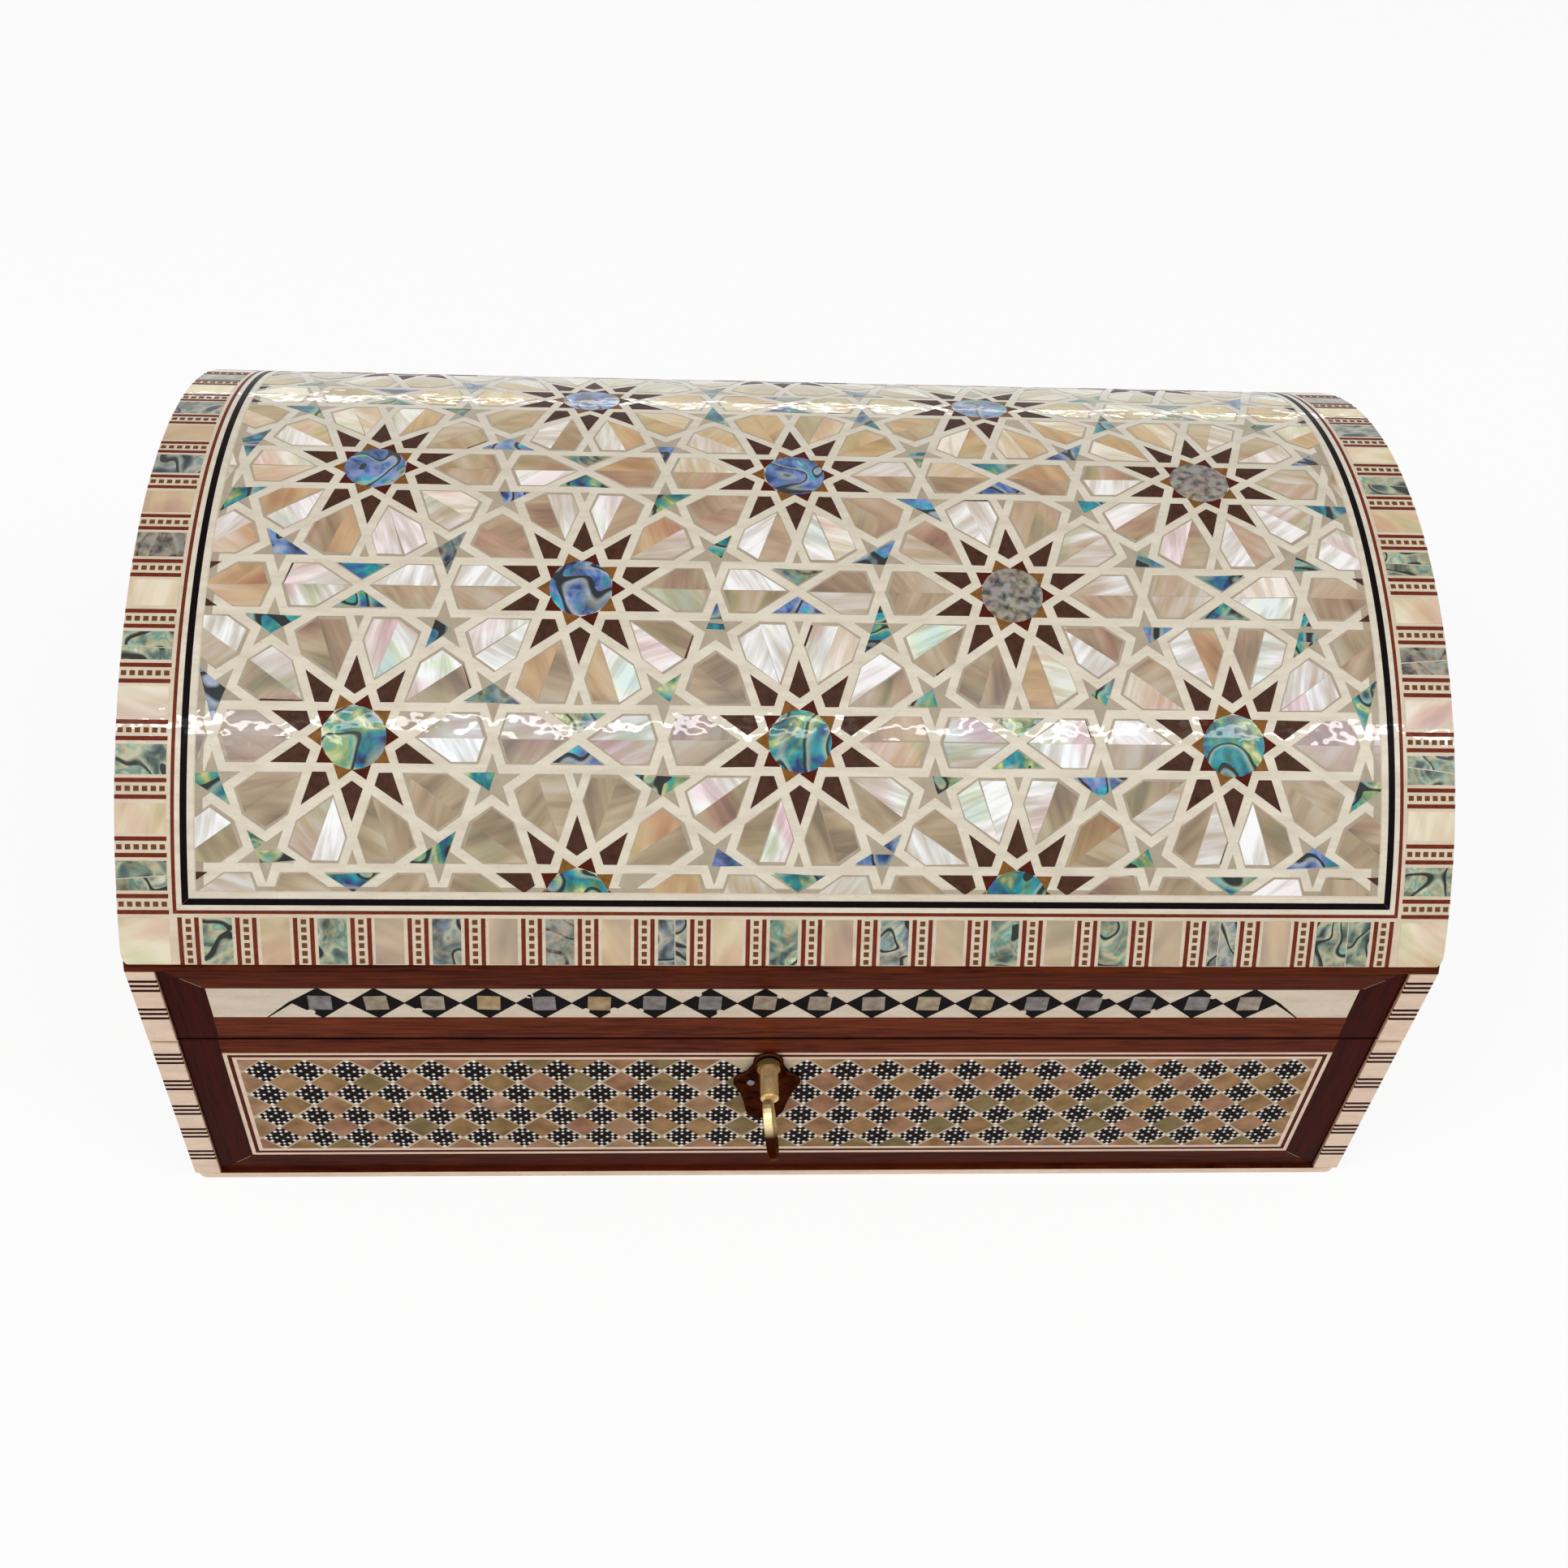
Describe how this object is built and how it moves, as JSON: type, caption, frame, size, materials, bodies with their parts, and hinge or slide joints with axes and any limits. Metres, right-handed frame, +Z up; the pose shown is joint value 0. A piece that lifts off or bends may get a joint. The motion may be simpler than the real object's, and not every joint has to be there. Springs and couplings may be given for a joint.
{
  "type": "jewellery box",
  "caption": "Rectangular wooden jewellery box with a hinged barrel-vault lid, inlaid with mother-of-pearl, bone and mosaic, with a keyed box lock.",
  "frame": {"origin": "middle of the footprint, on the surface the box stands on", "axes": "+X along the width, +Y from the lock's side to the hinges, +Z up"},
  "size_m": [0.3, 0.2297, 0.152],
  "materials": {
    "mahogany": "gloss lacquer",
    "poplar": "matt",
    "bone": "gloss lacquer",
    "pearl": "gloss lacquer",
    "mosaic": "gloss lacquer",
    "velvet": "velvet",
    "bronze": "dark patina",
    "brass": "worn polish",
    "steel": "plain"
  },
  "bodies": {
    "base": {"bottom_board": "poplar", "bottom_edging": "bone", "base_front_wall": "mahogany", "base_back_wall": "mahogany", "base_left_wall": "mahogany", "base_right_wall": "mahogany", "base_front_inlay": "mosaic", "base_back_inlay": "mosaic", "base_left_inlay": "mosaic", "base_right_inlay": "mosaic", "base_front_left_strip": "bone", "base_front_right_strip": "bone", "base_back_left_strip": "bone", "base_back_right_strip": "bone", "floor_lining": "velvet", "front_lining": "velvet", "back_lining": "velvet", "left_lining": "velvet", "right_lining": "velvet", "escutcheon": "bronze", "escutcheon_pin_upper": "bronze", "escutcheon_pin_lower": "bronze", "lock_case": "steel", "lock_cap": "steel", "lock_face_plate": "brass", "left_hinge_base_leaf": "brass", "left_hinge_base_outer_screw": "brass", "left_hinge_base_inner_screw": "brass", "left_hinge_pin": "brass", "right_hinge_base_leaf": "brass", "right_hinge_base_outer_screw": "brass", "right_hinge_base_inner_screw": "brass", "right_hinge_pin": "brass"},
    "lid": {"lid_front_rail": "mahogany", "lid_back_rail": "mahogany", "lid_left_end": "mahogany", "lid_right_end": "mahogany", "lid_front_band": "bone", "lid_back_band": "bone", "lid_left_inlay": "pearl", "lid_right_inlay": "pearl", "lid_front_left_strip": "bone", "lid_front_right_strip": "bone", "lid_back_left_strip": "bone", "lid_back_right_strip": "bone", "dome_board": "mahogany", "dome_field": "pearl", "dome_border": "bone", "lid_lining": "velvet", "strike_plate": "brass", "left_hinge_lid_leaf": "brass", "left_hinge_lid_outer_screw": "brass", "left_hinge_lid_inner_screw": "brass", "right_hinge_lid_leaf": "brass", "right_hinge_lid_outer_screw": "brass", "right_hinge_lid_inner_screw": "brass"},
    "key": {"key": "brass"},
    "bolt": {"lock_bolt": "brass"}
  },
  "joints": [
    {"name": "lid_hinge", "type": "hinge", "parent": "base", "child": "lid", "pos_m": [0, 0.1021, 0.0615], "axis": [-1, 0, 0], "range_deg": [0, 95]},
    {"name": "key_turn", "type": "hinge", "parent": "base", "child": "key", "pos_m": [-0.0045, -0.0998, 0.0525], "axis": [0, -1, 0], "range_deg": [0, 60]},
    {"name": "bolt_throw", "type": "slide", "parent": "base", "child": "bolt", "axis": [1, 0, 0], "range_m": [0, 0.0042]}
  ],
  "couplings": [
    {"joint": "bolt_throw", "follows": "key_turn", "m_per_rad": 0.00401}
  ]
}
